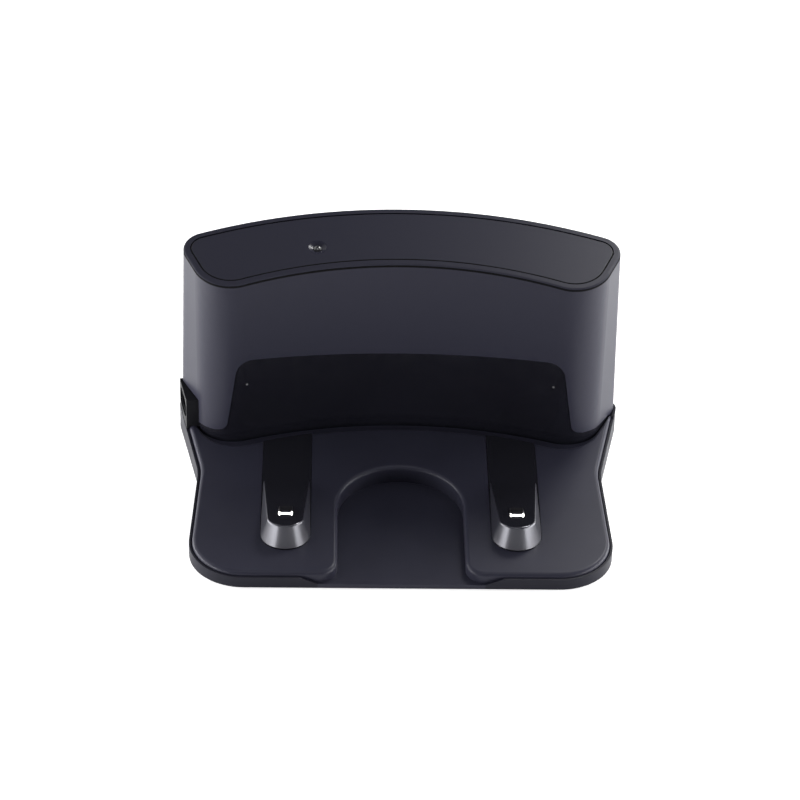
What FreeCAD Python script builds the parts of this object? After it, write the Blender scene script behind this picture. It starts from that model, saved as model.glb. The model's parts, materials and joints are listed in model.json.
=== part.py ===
import FreeCAD, Part
import math
import os

V = FreeCAD.Vector

# Overall size, in millimetres. X is across, Y runs back from the front lip, Z is up.
WIDTH = 230.0
DEPTH = 168.0
HEIGHT = 119.3

# Outline of the base in plan. A set is a distance in from the full width on each side.
FRONT_SET = 7.9
FRONT_CORNER_R = 28.0
WAIST_SET = 11.7
WAIST_Y = 83.0
WAIST_R = 40.0
REAR_CORNER_R = 8.0
BACK_R = 288.0

# Base tray. A back is a distance in from the back edge.
FOOT_STAND = 0.4
TRAY_FLOOR = 2.4
TRAY_WALL = 1.1
RIM_DROP = 2.0
RIM_RAMP = 9.0
REAR_WALL_TOP = 14.3
REAR_WALL_BACK = 37.0

# Base plate: a skin on a slope, with a groove round it
GROOVE = 0.5
PLATE_FRONT_Z = 8.4
PLATE_SLOPE = 2.8
PLATE_SKIN = 2.4
PLATE_EDGE_R = 2.0
CREST_GAP = 5.8
CREST_SIDE_GAP = 0.3
CREST_EDGE_R = 1.2
SHELF_DROP = 2.635

# Recess for the robot's front caster
RECESS_WIDTH = 63.6
RECESS_DEPTH = 85.9
RECESS_MOUTH_R = 9.5
RECESS_WALL = 2.0

# Contact pods
CONTACT_SPACING = 115.5
POD_WIDTH = 25.0
POD_FRONT_Y = 19.0
POD_RISE_Y = 74.0
POD_SLOPE = 10.2
POD_DRAFT = 19.5
POD_ROOF = 2.0
POD_WALL = 2.0
POD_FLANGE = 2.0
POD_FLANGE_THICK = 1.6
POD_EDGE_R = 1.0

# Sprung contacts and their leaf springs
CONTACT_Y = 38.8
CONTACT_WIDTH = 7.0
CONTACT_LENGTH = 8.4
CONTACT_PROUD = 1.4
CONTACT_SHOULDER = 1.0
CONTACT_EDGE_R = 0.5
CONTACT_FLANGE = 1.6
CONTACT_FLANGE_THICK = 1.2
CONTACT_PLAY = 0.45
LEAF_SEAT_Z = 4.4
LEAF_THICK = 0.35
LEAF_WIDTH = 5.0
LEAF_FOOT = 9.0
LEAF_ARM = 8.0
LEAF_TAB = 5.0
LEAF_TAB_LENGTH = 4.0

# Tower outline: concave bay for the robot in front, bowed back
TOWER_FOOT_Z = 14.3
TOWER_DEPTH = 44.6
TOWER_SIDE_SET = 1.4
TOWER_BACK_SET = 0.5
BAY_R = 222.0
TOWER_FRONT_CORNER_R = 20.0
TOWER_BACK_CORNER_R = 8.0
TOWER_SIDE_ANGLE = 26.0
FRONT_LEAN = 1.2
BACK_LEAN = 2.0
SIDE_LEAN = 2.5
BACK_CORNER_GROWTH = 4.0
TOWER_WALL = 2.5
TOP_SLOPE = 12.0
TOP_EDGE_R = 1.1
LEG_FOOT_BACK = 61.0
LEG_FOOT_Z = 18.8
LEG_HEEL_Z = 15.2

# Lid set into the top
RIM_WIDTH = 3.5
LID_GAP = 0.45
LID_THICK = 2.4
LID_EDGE_R = 0.5
LEDGE_WIDTH = 2.0
LEDGE_THICK = 2.0
LID_RIB = 1.5
LID_RIB_DEPTH = 2.0

# Status light in the lid
LIGHT_X = -43.1
LIGHT_BACK = 29.2
LIGHT_DIAMETER = 4.5
LIGHT_PROUD = 0.5
DIMPLE_DIAMETER = 9.2
DIMPLE_DEPTH = 0.9
LIGHT_LENGTH = 9.0

# Window opening between the legs
WINDOW_TOP_Z = 57.0
WINDOW_SMILE_R = 700.0
WINDOW_CORNER_R = 8.0
LEG_INNER_TOP_SET = 31.0
LEG_INNER_FOOT_SET = 26.7
LEG_INNER_TOP_Z = 56.7
LEG_INNER_FOOT_Z = 27.5
LEG_TIP_R = 6.0
WINDOW_SET = 0.4
WINDOW_GAP = 0.25
WINDOW_FLANGE = 3.0
WINDOW_FLANGE_THICK = 1.5
PIP_R = 1.0
PIP_PROUD = 0.4

# Power inlet on the left side
INLET_FRONT_BACK = 50.0
INLET_LENGTH = 20.4
INLET_TOP_Z = 30.6
INLET_REACH = 16.0
INLET_FLUSH = 0.2
SOCKET_WIDTH = 16.4
SOCKET_HEIGHT = 8.6
SOCKET_DEPTH = 12.5
SOCKET_Z = 22.6
SOCKET_FRAME = 1.2
SOCKET_FRAME_DEPTH = 0.8
PIN_SPACING = 8.6
PIN_DIAMETER = 2.4
PIN_LENGTH = 10.0
PIN_TAIL = 3.0

# Boards and what stands on them
BOARD_THICK = 1.6
POWER_BOARD_LENGTH = 132.0
POWER_BOARD_DEPTH = 22.0
POWER_BOARD_BACK = 38.6
POWER_BOARD_Z = 17.0
BOARD_POST_R = 3.0
BOARD_POST_INSET = 4.0
TRANSFORMER_SIZE = (24.0, 18.0, 17.0)
CAPACITOR_DIAMETER = 10.0
CAPACITOR_HEIGHT = 16.0
TERMINAL_SIZE = (9.0, 13.0, 9.0)
EMITTER_Z = 46.6
EMITTER_SET = 36.5
EMITTER_DIAMETER = 5.0
EMITTER_LENGTH = 7.0
IR_BOARD_SIZE = (15.0, 12.0)
IR_PEG_R = 1.5
STATUS_BOARD_SIZE = (26.0, 12.0)
STATUS_LED_SIZE = (3.2, 3.2, 1.8)
STATUS_POST_R = 2.0

# Fasteners, feet and wires
SCREW_DIAMETER = 3.0
SCREW_HEAD_DIAMETER = 5.6
SCREW_HEAD = 2.0
SCREW_GRIP = 6.0
SCREW_FIT = 0.05
HEAD_DEPTH = 1.2
BOSS_R = 4.0
BASE_BOSS_Z = 6.2
BASE_SCREW_SET = 27.0
BASE_SCREW_YS = (32.0, 74.0)
TOWER_SCREW_SET = 75.0
TOWER_POST_GAP = 0.58
TOWER_POST_HEIGHT = 26.0
FOOT_DIAMETER = 12.0
FOOT_SINK = 1.0
FOOT_FRONT_SET = 37.0
FOOT_FRONT_Y = 24.0
FOOT_REAR_SET = 33.0
FOOT_REAR_BACK = 23.0
LEAD_DIAMETER = 1.6
LEAD_BEND_R = 5.0
LEAD_HOLE = 3.0
SIGNAL_DIAMETER = 1.4

# Small clearances
FIT = 0.2
SLIP = 0.3
CURVE_FIT = 0.15
BEYOND = 20.0

PLATE_INSET = TRAY_WALL + GROOVE
TRAY_FLOOR_Z = FOOT_STAND + TRAY_FLOOR
REAR_WALL_Y = DEPTH - REAR_WALL_BACK
LEG_FOOT_Y = DEPTH - LEG_FOOT_BACK
INLET_FRONT_Y = DEPTH - INLET_FRONT_BACK
POWER_BOARD_Y = DEPTH - POWER_BOARD_BACK
TOWER_FRONT_Y = DEPTH - TOWER_DEPTH
SHELF_Z = PLATE_FRONT_Z + math.tan(math.radians(PLATE_SLOPE)) * TOWER_FRONT_Y - SHELF_DROP
TOWER_BACK_TOP_Y = DEPTH - TOWER_BACK_SET - BACK_LEAN
LIGHT_Y = TOWER_BACK_TOP_Y - LIGHT_BACK
POD_X = CONTACT_SPACING / 2
SIDES = (("left", -1), ("right", 1))


# Small helpers for points and outlines

def unit(vector):
    return vector * (1.0 / vector.Length)


def flip(point):
    return V(-point.x, point.y, point.z)


def outward(along):
    """Normal to the right of a plan direction that runs back."""
    return unit(V(along.y, -along.x, 0))


def span(start, end, mid=None):
    if mid is None:
        return Part.LineSegment(start, end).toShape()
    return Part.Arc(start, mid, end).toShape()


def corner(centre, radius, first, last):
    """Start, middle and end of a rounded corner."""
    return [centre + first * radius, centre + unit(first + last) * radius, centre + last * radius]


def chain(arcs):
    edges = []
    for before, arc in zip([None] + arcs, arcs):
        if before:
            edges.append(span(before[2], arc[0]))
        edges.append(span(arc[0], arc[2], arc[1]))
    return edges


def ring(arcs, first_mid=None, last_mid=None):
    """Closed outline, alike left and right, from the arcs of its right half, joined by lines."""
    left = [[flip(point) for point in reversed(arc)] for arc in reversed(arcs)]
    edges = [span(left[-1][2], arcs[0][0], first_mid)] + chain(arcs)
    if not arcs[-1][2].isEqual(left[0][0], 1e-6):
        edges.append(span(arcs[-1][2], left[0][0], last_mid))
    return Part.Wire(edges + chain(left))


def fillet_centre(circle, radius, point, along, out, fillet):
    """Centre of a fillet outside a circle and inside a line that leads away from it."""
    start = point - out * fillet - circle
    lead = start.dot(along)
    run = math.sqrt(lead ** 2 - start.dot(start) + (radius + fillet) ** 2) - lead
    return circle + start + along * run


# Small helpers for solids

def prism(outline, low, high):
    solid = Part.Face(outline).extrude(V(0, 0, high - low))
    solid.translate(V(0, 0, low))
    return solid


def box(x_range, y_range, z_range):
    lows, highs = zip(x_range, y_range, z_range)
    size = [high - low for low, high in zip(lows, highs)]
    return Part.makeBox(*size, V(*lows))


def post(x, y, low, high, radius):
    return Part.makeCylinder(radius, high - low, V(x, y, low))


def rod(start, end, radius):
    return Part.makeCylinder(radius, (end - start).Length, start, end - start)


def joined(first, *others):
    return first.fuse(list(others)).removeSplitter()


def mirrored(shape):
    return shape.mirror(V(0, 0, 0), V(1, 0, 0))


def on_side(shape, side):
    """The right-hand shape, or its mirror image for the left."""
    return shape if side > 0 else mirrored(shape)


def room(profile, end_z):
    """The room between a line of depths and heights and a level far above or below it."""
    loop = [V(-WIDTH, y, z) for y, z in profile]
    loop += [V(-WIDTH, profile[-1][0], end_z), V(-WIDTH, profile[0][0], end_z)]
    return Part.Face(Part.makePolygon(loop + loop[:1])).extrude(V(2 * WIDTH, 0, 0))


def above(profile):
    return room(profile, 2 * HEIGHT)


def below(profile):
    return room(profile, -HEIGHT)


def edges_at(shape, height):
    """Edges that lie wholly at a height, which may change with depth."""
    found = []
    for edge in shape.Edges:
        middle = edge.valueAt((edge.FirstParameter + edge.LastParameter) / 2)
        points = [vertex.Point for vertex in edge.Vertexes] + [middle]
        if all(abs(point.z - height(point.y)) < 1e-4 for point in points):
            found.append(edge)
    return found


# Sloped surfaces, as heights that depend on depth

def plate_z(y, drop=0.0):
    return PLATE_FRONT_Z - drop + math.tan(math.radians(PLATE_SLOPE)) * y


def pod_z(y, drop=0.0):
    return plate_z(POD_RISE_Y) - drop + math.tan(math.radians(POD_SLOPE)) * (POD_RISE_Y - y)


def top_z(y, drop=0.0):
    return HEIGHT - drop - math.tan(math.radians(TOP_SLOPE)) * (TOWER_BACK_TOP_Y - y)


def line_of(height, drop=0.0, near=-BEYOND, far=DEPTH + BEYOND):
    return [(near, height(near, drop)), (far, height(far, drop))]


# Outlines in plan and in front view

def base_centres():
    """Centres and outward directions that the base outline turns about."""
    front = V(WIDTH / 2 - FRONT_SET, 0, 0)
    waist = V(WIDTH / 2 - WAIST_SET, WAIST_Y, 0)
    side_out = outward(waist - front)
    front_corner = V(front.x - FRONT_CORNER_R * (1 + side_out.y) / side_out.x, FRONT_CORNER_R, 0)
    back = V(0, DEPTH - BACK_R, 0)
    rear_x = WIDTH / 2 - REAR_CORNER_R
    rear_corner = V(rear_x, back.y + math.sqrt((BACK_R - REAR_CORNER_R) ** 2 - rear_x ** 2), 0)
    reach = rear_corner - waist
    turn = math.asin(REAR_CORNER_R / reach.Length)
    flare = FreeCAD.Rotation(V(0, 0, 1), -math.degrees(turn)).multVec(reach)
    flare_out = outward(flare)
    hollow = waist + (side_out + flare_out) * (WAIST_R / (1 + side_out.dot(flare_out)))
    return front_corner, side_out, hollow, flare_out, rear_corner, back


def base_ring(inset):
    front_corner, side_out, hollow, flare_out, rear_corner, back = base_centres()
    arcs = [
        corner(front_corner, FRONT_CORNER_R - inset, V(0, -1, 0), side_out),
        corner(hollow, WAIST_R + inset, -side_out, -flare_out),
        corner(rear_corner, REAR_CORNER_R - inset, flare_out, unit(rear_corner - back)),
    ]
    return ring(arcs, None, V(0, DEPTH - inset, 0))


def side_direction():
    angle = math.radians(TOWER_SIDE_ANGLE)
    return V(math.sin(angle), math.cos(angle), 0)


def tower_back_corner(rise):
    """Centre and radius of the tower's back corner, and the centre of its bowed back."""
    radius = TOWER_BACK_CORNER_R + BACK_CORNER_GROWTH * rise
    back = V(0, DEPTH - TOWER_BACK_SET - BACK_LEAN * rise - BACK_R, 0)
    x = WIDTH / 2 - TOWER_SIDE_SET - SIDE_LEAN * rise - radius
    return V(x, back.y + math.sqrt((BACK_R - radius) ** 2 - x ** 2), 0), radius, back


def tower_ring(z, inset):
    rise = (z - TOWER_FOOT_Z) / (HEIGHT - TOWER_FOOT_Z)
    front_y = tower_front(z)
    bay = V(0, front_y - BAY_R, 0)
    back_corner, back_r, back = tower_back_corner(rise)
    along = side_direction()
    out = outward(along)
    side = back_corner + out * back_r
    front_corner = fillet_centre(bay, BAY_R, side, along, out, TOWER_FRONT_CORNER_R)
    arcs = [
        corner(front_corner, TOWER_FRONT_CORNER_R - inset, unit(bay - front_corner), out),
        corner(back_corner, back_r - inset, out, unit(back_corner - back)),
    ]
    outline = ring(arcs, V(0, front_y + inset, 0), V(0, back.y + BACK_R - inset, 0))
    outline.translate(V(0, 0, z))
    return outline


def tower(inset):
    """The tower as one drafted solid, from below the floor to above its top."""
    return Part.makeLoft([tower_ring(0, inset), tower_ring(HEIGHT + BEYOND, inset)], True, True)


def tower_band(outer_inset, inner_inset):
    return tower(outer_inset).cut(tower(inner_inset))


def crest_room(grow, low, high):
    """The room behind the curved rear edge of the plate, which follows the tower's front."""
    along = side_direction()
    out = outward(along)
    back_corner, back_r, back = tower_back_corner(0)
    side = back_corner + out * (back_r + CREST_SIDE_GAP)
    bay = V(0, TOWER_FRONT_Y - CREST_GAP - BAY_R, 0)
    front_corner = fillet_centre(bay, BAY_R, side, along, out, TOWER_FRONT_CORNER_R)
    radius = TOWER_FRONT_CORNER_R + grow
    arcs = [corner(front_corner, radius, unit(bay - front_corner), out)]
    run = DEPTH + BEYOND - arcs[0][2].y
    end = arcs[0][2] + along * (run / along.y)
    arcs.append([end, end + V(BEYOND / 2, BEYOND, 0), end + V(0, 2 * BEYOND, 0)])
    return prism(ring(arcs, V(0, bay.y + BAY_R - grow, 0)), low, high)


def behind_crest(grow, low, high):
    """The room where the tower stands: behind the crest, and right across the back."""
    across = box((-WIDTH, WIDTH), (REAR_WALL_Y, DEPTH + BEYOND), (low, high))
    return crest_room(grow, low, high).fuse(across)


def crested_slab():
    """A sloped slab larger than the plate, whose rounded rear edge is the crest."""
    y_range = (-BEYOND, DEPTH + BEYOND)
    slab = box((-WIDTH, WIDTH), y_range, (-BEYOND, HEIGHT)).cut(above(line_of(plate_z)))
    step = crest_room(0, SHELF_Z, HEIGHT)
    slab = slab.cut(step)
    rims = []
    for edge in edges_at(slab, plate_z):
        middle = edge.valueAt((edge.FirstParameter + edge.LastParameter) / 2)
        if Part.Vertex(middle).distToShape(step)[0] < 1e-4:
            rims.append(edge)
    slab = slab.makeFillet(CREST_EDGE_R, rims)
    return slab.cut(box((-WIDTH, WIDTH), (REAR_WALL_Y, DEPTH + BEYOND), (SHELF_Z, HEIGHT)))


def recess_mouth():
    """Centre of the rounded corner at the recess's mouth, on the right."""
    return V(RECESS_WIDTH / 2 + RECESS_MOUTH_R, PLATE_INSET + RECESS_MOUTH_R, 0)


def recess_room(grow, low, high):
    """The caster recess in plan, open to the front."""
    half = RECESS_WIDTH / 2
    mouth = recess_mouth()
    end = V(0, RECESS_DEPTH - half, 0)
    arcs = [
        corner(mouth, RECESS_MOUTH_R - grow, V(0, -1, 0), V(-1, 0, 0)),
        corner(end, half + grow, V(1, 0, 0), V(0, 1, 0)),
    ]
    front = box((-mouth.x, mouth.x), (-BEYOND, PLATE_INSET + grow), (low, high))
    return prism(ring(arcs), low, high).fuse(front)


def mouth_slopes():
    """Room above the tray's front rim where it slopes down to the recess, on both sides."""
    reach = recess_mouth().x
    rim_z = plate_z(0, RIM_DROP)
    slope = [V(reach, -BEYOND, TRAY_FLOOR_Z), V(reach + RIM_RAMP, -BEYOND, rim_z)]
    slope += [V(reach + RIM_RAMP, -BEYOND, HEIGHT), V(reach, -BEYOND, HEIGHT)]
    right = Part.Face(Part.makePolygon(slope + slope[:1])).extrude(V(0, BEYOND + TRAY_WALL, 0))
    return right.fuse(mirrored(right))


def pod_room(grow, back_y, low, high):
    """The slot that a contact pod fills, on the right-hand side."""
    half = POD_WIDTH / 2 + grow
    nose_y = POD_FRONT_Y + POD_WIDTH / 2
    nose = post(POD_X, nose_y, low, high, half)
    return nose.fuse(box((POD_X - half, POD_X + half), (nose_y, back_y), (low, high)))


def window_room(inset):
    """The window opening, seen from the front and carried through the tower's front wall."""
    top = V(WIDTH / 2 - LEG_INNER_TOP_SET, 0, LEG_INNER_TOP_Z)
    foot = V(WIDTH / 2 - LEG_INNER_FOOT_SET, 0, LEG_INNER_FOOT_Z)
    down = unit(foot - top)
    out = V(-down.z, 0, down.x)
    smile = V(0, 0, WINDOW_TOP_Z + WINDOW_SMILE_R)
    bend = fillet_centre(smile, WINDOW_SMILE_R, foot, down, out, WINDOW_CORNER_R)
    tip_z = LEG_FOOT_Z + LEG_TIP_R
    tip_run = (tip_z - foot.z - out.z * LEG_TIP_R) / down.z
    tip = foot + down * tip_run + out * LEG_TIP_R
    arcs = [
        corner(bend, WINDOW_CORNER_R - inset, unit(smile - bend), out),
        corner(tip, LEG_TIP_R + inset, -out, V(0, 0, -1)),
    ]
    face = Part.Face(ring(arcs, V(0, 0, WINDOW_TOP_Z - inset)))
    opening = face.extrude(V(0, REAR_WALL_Y, 0))
    half = arcs[1][2].x
    return opening.fuse(box((-half, half), (0, REAR_WALL_Y), (0, arcs[1][2].z)))


def leg_line(drop=0.0):
    """Lower edge of the shell: it climbs from the heel to the front of the legs."""
    climb = (LEG_FOOT_Z - LEG_HEEL_Z) / (REAR_WALL_Y - LEG_FOOT_Y)
    front_z = LEG_HEEL_Z + climb * REAR_WALL_Y
    return [(0, front_z - drop), (REAR_WALL_Y, LEG_HEEL_Z - drop)]


# Fasteners: where they go, and their shape

def base_screw_places():
    x = WIDTH / 2 - BASE_SCREW_SET
    return [(side * x, y) for name, side in SIDES for y in BASE_SCREW_YS]


def tower_screw_places():
    """Along the bowed back, just inside the plate's skirt, the outer pair behind the inlet."""
    reach = BACK_R - PLATE_INSET - PLATE_SKIN - SLIP - BOSS_R
    centre_y = DEPTH - BACK_R
    inner_x = WIDTH / 2 - TOWER_SCREW_SET
    inner = (inner_x, centre_y + math.sqrt(reach ** 2 - inner_x ** 2))
    outer_y = INLET_FRONT_Y + INLET_LENGTH + BOSS_R + TOWER_POST_GAP
    outer = (math.sqrt(reach ** 2 - (outer_y - centre_y) ** 2), outer_y)
    return [(side * x, y) for name, side in SIDES for x, y in (inner, outer)]


def foot_places():
    front = (WIDTH / 2 - FOOT_FRONT_SET, FOOT_FRONT_Y)
    rear = (WIDTH / 2 - FOOT_REAR_SET, DEPTH - FOOT_REAR_BACK)
    return [(side * x, y) for name, side in SIDES for x, y in (front, rear)]


def board_post_places():
    x = POWER_BOARD_LENGTH / 2 - BOARD_POST_INSET
    ys = (POWER_BOARD_Y + BOARD_POST_INSET, POWER_BOARD_Y + POWER_BOARD_DEPTH - BOARD_POST_INSET)
    return [(side * x, y) for name, side in SIDES for y in ys]


def screw(x, y, head_z, end_z, up=1):
    """A pan-head screw that runs up from its head, or down where up is -1."""
    head = post(x, y, 0, SCREW_HEAD, SCREW_HEAD_DIAMETER / 2)
    length = abs(end_z - head_z)
    shank = post(x, y, SCREW_HEAD, length, SCREW_DIAMETER / 2)
    solid = joined(head, shank)
    if up < 0:
        solid = solid.mirror(V(0, 0, 0), V(0, 0, 1))
    solid.translate(V(0, 0, head_z))
    return solid


def screw_hole(x, y, low, high):
    return post(x, y, low, high, SCREW_DIAMETER / 2 + SCREW_FIT)


def base_screws():
    end = BASE_BOSS_Z + SCREW_GRIP / 2
    head_z = FOOT_STAND + HEAD_DEPTH
    return Part.makeCompound([screw(x, y, head_z, end) for x, y in base_screw_places()])


def tower_screws():
    end = SHELF_Z + SCREW_GRIP
    head_z = FOOT_STAND + HEAD_DEPTH
    return Part.makeCompound([screw(x, y, head_z, end) for x, y in tower_screw_places()])


def board_screws():
    head_z = POWER_BOARD_Z + BOARD_THICK + SCREW_HEAD
    end = POWER_BOARD_Z - SCREW_GRIP / 2
    return Part.makeCompound([screw(x, y, head_z, end, -1) for x, y in board_post_places()])


# Base

def rubber_feet():
    top = FOOT_STAND + FOOT_SINK
    feet = []
    for x, y in foot_places():
        foot = post(x, y, 0, top, FOOT_DIAMETER / 2)
        feet.append(foot.makeChamfer(FOOT_STAND / 2, edges_at(foot, lambda depth: 0)))
    return Part.makeCompound(feet)


def leaf_seat(side):
    """Pedestal on the tray floor under a contact."""
    bend_y = leaf_bend()[0]
    half = LEAF_WIDTH / 2 + LEAF_TAB
    pad = box((POD_X - half, POD_X + half), (bend_y - LEAF_FOOT, bend_y), (TRAY_FLOOR_Z, LEAF_SEAT_Z))
    return on_side(pad, side)


def pod_stand(side):
    """Pair of posts on the tray floor that press the pod up against the plate."""
    y = POD_RISE_Y
    reach = POD_WIDTH / 2 - BOSS_R / 2
    posts = [post(POD_X + s * reach, y, TRAY_FLOOR_Z, HEIGHT, BOSS_R / 2) for name, s in SIDES]
    under_flange = above(line_of(plate_z, PLATE_SKIN + POD_FLANGE_THICK))
    return on_side(posts[0].fuse(posts[1]).cut(under_flange), side)


def base_tray():
    body = prism(base_ring(0), FOOT_STAND, REAR_WALL_TOP)
    body = body.cut(above(line_of(plate_z, RIM_DROP, far=REAR_WALL_Y)))
    body = body.cut(prism(base_ring(TRAY_WALL), TRAY_FLOOR_Z, HEIGHT))
    body = body.cut(recess_room(RECESS_WALL + SLIP, -BEYOND, HEIGHT)).cut(mouth_slopes())
    bosses = [post(x, y, FOOT_STAND, BASE_BOSS_Z, BOSS_R) for x, y in base_screw_places()]
    shelf_under = SHELF_Z - PLATE_SKIN
    bosses += [post(x, y, FOOT_STAND, shelf_under, BOSS_R) for x, y in tower_screw_places()]
    for name, side in SIDES:
        bosses += [leaf_seat(side), pod_stand(side)]
    body = joined(body, *bosses)
    head_z = FOOT_STAND + HEAD_DEPTH
    head_r = SCREW_HEAD_DIAMETER / 2 + SLIP
    for x, y in base_screw_places() + tower_screw_places():
        body = body.cut(post(x, y, 0, head_z + SCREW_HEAD, head_r))
        body = body.cut(screw_hole(x, y, 0, HEIGHT))
    for x, y in foot_places():
        body = body.cut(post(x, y, 0, FOOT_STAND + FOOT_SINK, FOOT_DIAMETER / 2 + FIT))
    return body


def plate_skin():
    """Sloped plate with its rounded rim, the open caster recess and the crest in front of the tower."""
    skin = prism(base_ring(PLATE_INSET), TRAY_FLOOR_Z, HEIGHT).cut(above(line_of(plate_z)))
    skin = skin.cut(recess_room(0, -BEYOND, HEIGHT))
    skin = skin.makeFillet(PLATE_EDGE_R, edges_at(skin, plate_z))
    return skin.common(crested_slab())


def plate_cavity():
    """Hollow under the plate, lower under the shelf, clear of the recess walls."""
    hollow = prism(base_ring(PLATE_INSET + PLATE_SKIN), -BEYOND, HEIGHT)
    hollow = hollow.cut(above(line_of(plate_z, PLATE_SKIN)))
    hollow = hollow.cut(behind_crest(PLATE_SKIN, SHELF_Z - PLATE_SKIN, HEIGHT))
    return hollow.cut(recess_room(RECESS_WALL, -BEYOND, HEIGHT))


def base_plate():
    body = plate_skin().cut(plate_cavity())
    floor = recess_room(RECESS_WALL, FOOT_STAND, TRAY_FLOOR_Z)
    floor = floor.common(box((-WIDTH, WIDTH), (0, DEPTH), (0, HEIGHT)))
    bosses = [post(x, y, BASE_BOSS_Z, plate_z(y, PLATE_SKIN / 2), BOSS_R) for x, y in base_screw_places()]
    bosses += [post(x, y, SHELF_Z - PLATE_SKIN, POWER_BOARD_Z, BOARD_POST_R) for x, y in board_post_places()]
    body = joined(body, floor, *bosses)
    for x, y in base_screw_places():
        body = body.cut(screw_hole(x, y, 0, BASE_BOSS_Z + SCREW_GRIP / 2))
    for x, y in tower_screw_places():
        body = body.cut(screw_hole(x, y, 0, HEIGHT))
    for x, y in board_post_places():
        body = body.cut(screw_hole(x, y, POWER_BOARD_Z - SCREW_GRIP / 2, HEIGHT))
    slot_end = pod_crest_y() - PLATE_SKIN
    for name, side in SIDES:
        body = body.cut(on_side(pod_room(FIT, slot_end, -BEYOND, HEIGHT), side))
        body = body.cut(on_side(pod_room(FIT, REAR_WALL_Y, SHELF_Z, HEIGHT), side))
        x, y = lead_rise(side)
        body = body.cut(post(x, y, 0, HEIGHT, LEAD_HOLE / 2))
    return body


# Contact pods

def pod_crest_y():
    """Depth of the crest at the pod's outer edge, where it comes furthest forward."""
    reach = POD_X + POD_WIDTH / 2
    bay_y = TOWER_FRONT_Y - CREST_GAP - BAY_R
    return bay_y + math.sqrt(BAY_R ** 2 - reach ** 2)


def pod_nose(inset, drop):
    """Drafted nose: half a cone in front, straight sides behind, under the pod's sloped top."""
    nose_y = POD_FRONT_Y + POD_WIDTH / 2
    low = plate_z(nose_y)
    base_r = POD_WIDTH / 2 - inset
    rise = pod_z(POD_FRONT_Y) - low
    top_r = base_r - math.tan(math.radians(POD_DRAFT)) * rise
    cone = Part.makeCone(base_r, top_r, rise, V(POD_X, nose_y, low))
    section = [V(POD_X - base_r, nose_y, low), V(POD_X + base_r, nose_y, low)]
    section += [V(POD_X + top_r, nose_y, low + rise), V(POD_X - top_r, nose_y, low + rise)]
    ridge = Part.Face(Part.makePolygon(section + section[:1])).extrude(V(0, POD_RISE_Y - nose_y, 0))
    return joined(cone, ridge).cut(above(line_of(pod_z, drop)))


def contact_frame(shape):
    """Sets a shape made about the origin on the pod's sloped roof, where the contact is."""
    tilt = FreeCAD.Rotation(V(1, 0, 0), -POD_SLOPE)
    shape.Placement = FreeCAD.Placement(V(POD_X, CONTACT_Y, pod_z(CONTACT_Y)), tilt)
    return shape


def contact_hole():
    half_x = CONTACT_WIDTH / 2 + SLIP
    half_y = CONTACT_LENGTH / 2 + CONTACT_PLAY
    hole = box((-half_x, half_x), (-half_y, half_y), (-2 * POD_ROOF, 2 * POD_ROOF))
    return contact_frame(hole)


def contact_pod():
    """Right-hand pod: a flush tongue in the plate, a raised nose and a flange under the plate."""
    slot_end = pod_crest_y() - PLATE_SKIN
    tongue = pod_room(0, REAR_WALL_Y, 0, HEIGHT)
    tongue = tongue.cut(above(line_of(plate_z))).cut(below(line_of(plate_z, PLATE_SKIN)))
    tongue = tongue.cut(behind_crest(0, 0, HEIGHT))
    tongue = tongue.cut(box((0, WIDTH), (slot_end - FIT, DEPTH), (0, SHELF_Z)))
    flange = pod_room(POD_FLANGE, slot_end - POD_FLANGE, 0, HEIGHT)
    flange = flange.cut(above(line_of(plate_z, PLATE_SKIN)))
    flange = flange.cut(below(line_of(plate_z, PLATE_SKIN + POD_FLANGE_THICK)))
    nose = pod_nose(0, 0)
    foot_z = plate_z(POD_RISE_Y)
    rims = [edge for edge in edges_at(nose, pod_z) if edge.BoundBox.ZMax > foot_z + POD_EDGE_R]
    body = joined(tongue, flange, nose.makeFillet(POD_EDGE_R, rims))
    hollow_end = POD_RISE_Y - POD_WIDTH
    chamber = pod_room(-POD_WALL, hollow_end, 0, plate_z(POD_FRONT_Y + POD_WIDTH / 2))
    inner = pod_nose(POD_WALL, POD_ROOF).common(box((0, WIDTH), (0, hollow_end), (0, HEIGHT)))
    return body.cut(chamber).cut(inner).cut(contact_hole())


def contact():
    """Right-hand contact: a crowned metal button with a flange that stops it under the roof."""
    half_y = CONTACT_LENGTH / 2
    half_x = CONTACT_WIDTH / 2
    low = -POD_ROOF - CONTACT_FLANGE_THICK
    ends = [V(-half_x, -half_y, CONTACT_SHOULDER), V(-half_x, half_y, CONTACT_SHOULDER)]
    crown = span(ends[0], ends[1], V(-half_x, 0, CONTACT_PROUD))
    down = [V(-half_x, half_y, low), V(-half_x, -half_y, low)]
    outline = Part.Wire([crown, span(ends[1], down[0]), span(down[0], down[1]), span(down[1], ends[0])])
    button = Part.Face(outline).extrude(V(CONTACT_WIDTH, 0, 0))
    rims = [edge for edge in button.Edges if edge.BoundBox.ZMin > 0]
    button = button.makeFillet(min(CONTACT_EDGE_R, CONTACT_SHOULDER * 0.9), rims)
    reach_x = half_x + CONTACT_FLANGE
    reach_y = half_y + CONTACT_FLANGE
    flange = box((-reach_x, reach_x), (-reach_y, reach_y), (low, -POD_ROOF))
    return contact_frame(joined(button, flange))


def leaf_bend():
    """Depth, height and radius of the bend of a leaf spring between its seat and the contact."""
    tilt = math.radians(POD_SLOPE)
    under = POD_ROOF + CONTACT_FLANGE_THICK
    plane_y = CONTACT_Y - under * math.sin(tilt)
    plane_z = pod_z(CONTACT_Y) - under * math.cos(tilt)
    y = CONTACT_Y + CONTACT_LENGTH / 2
    gap = (plane_z - LEAF_SEAT_Z - LEAF_THICK / 2) * math.cos(tilt) - (y - plane_y) * math.sin(tilt)
    radius = (gap - LEAF_THICK / 2) / (1 + math.cos(tilt))
    return y, LEAF_SEAT_Z + LEAF_THICK / 2 + radius, radius


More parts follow.
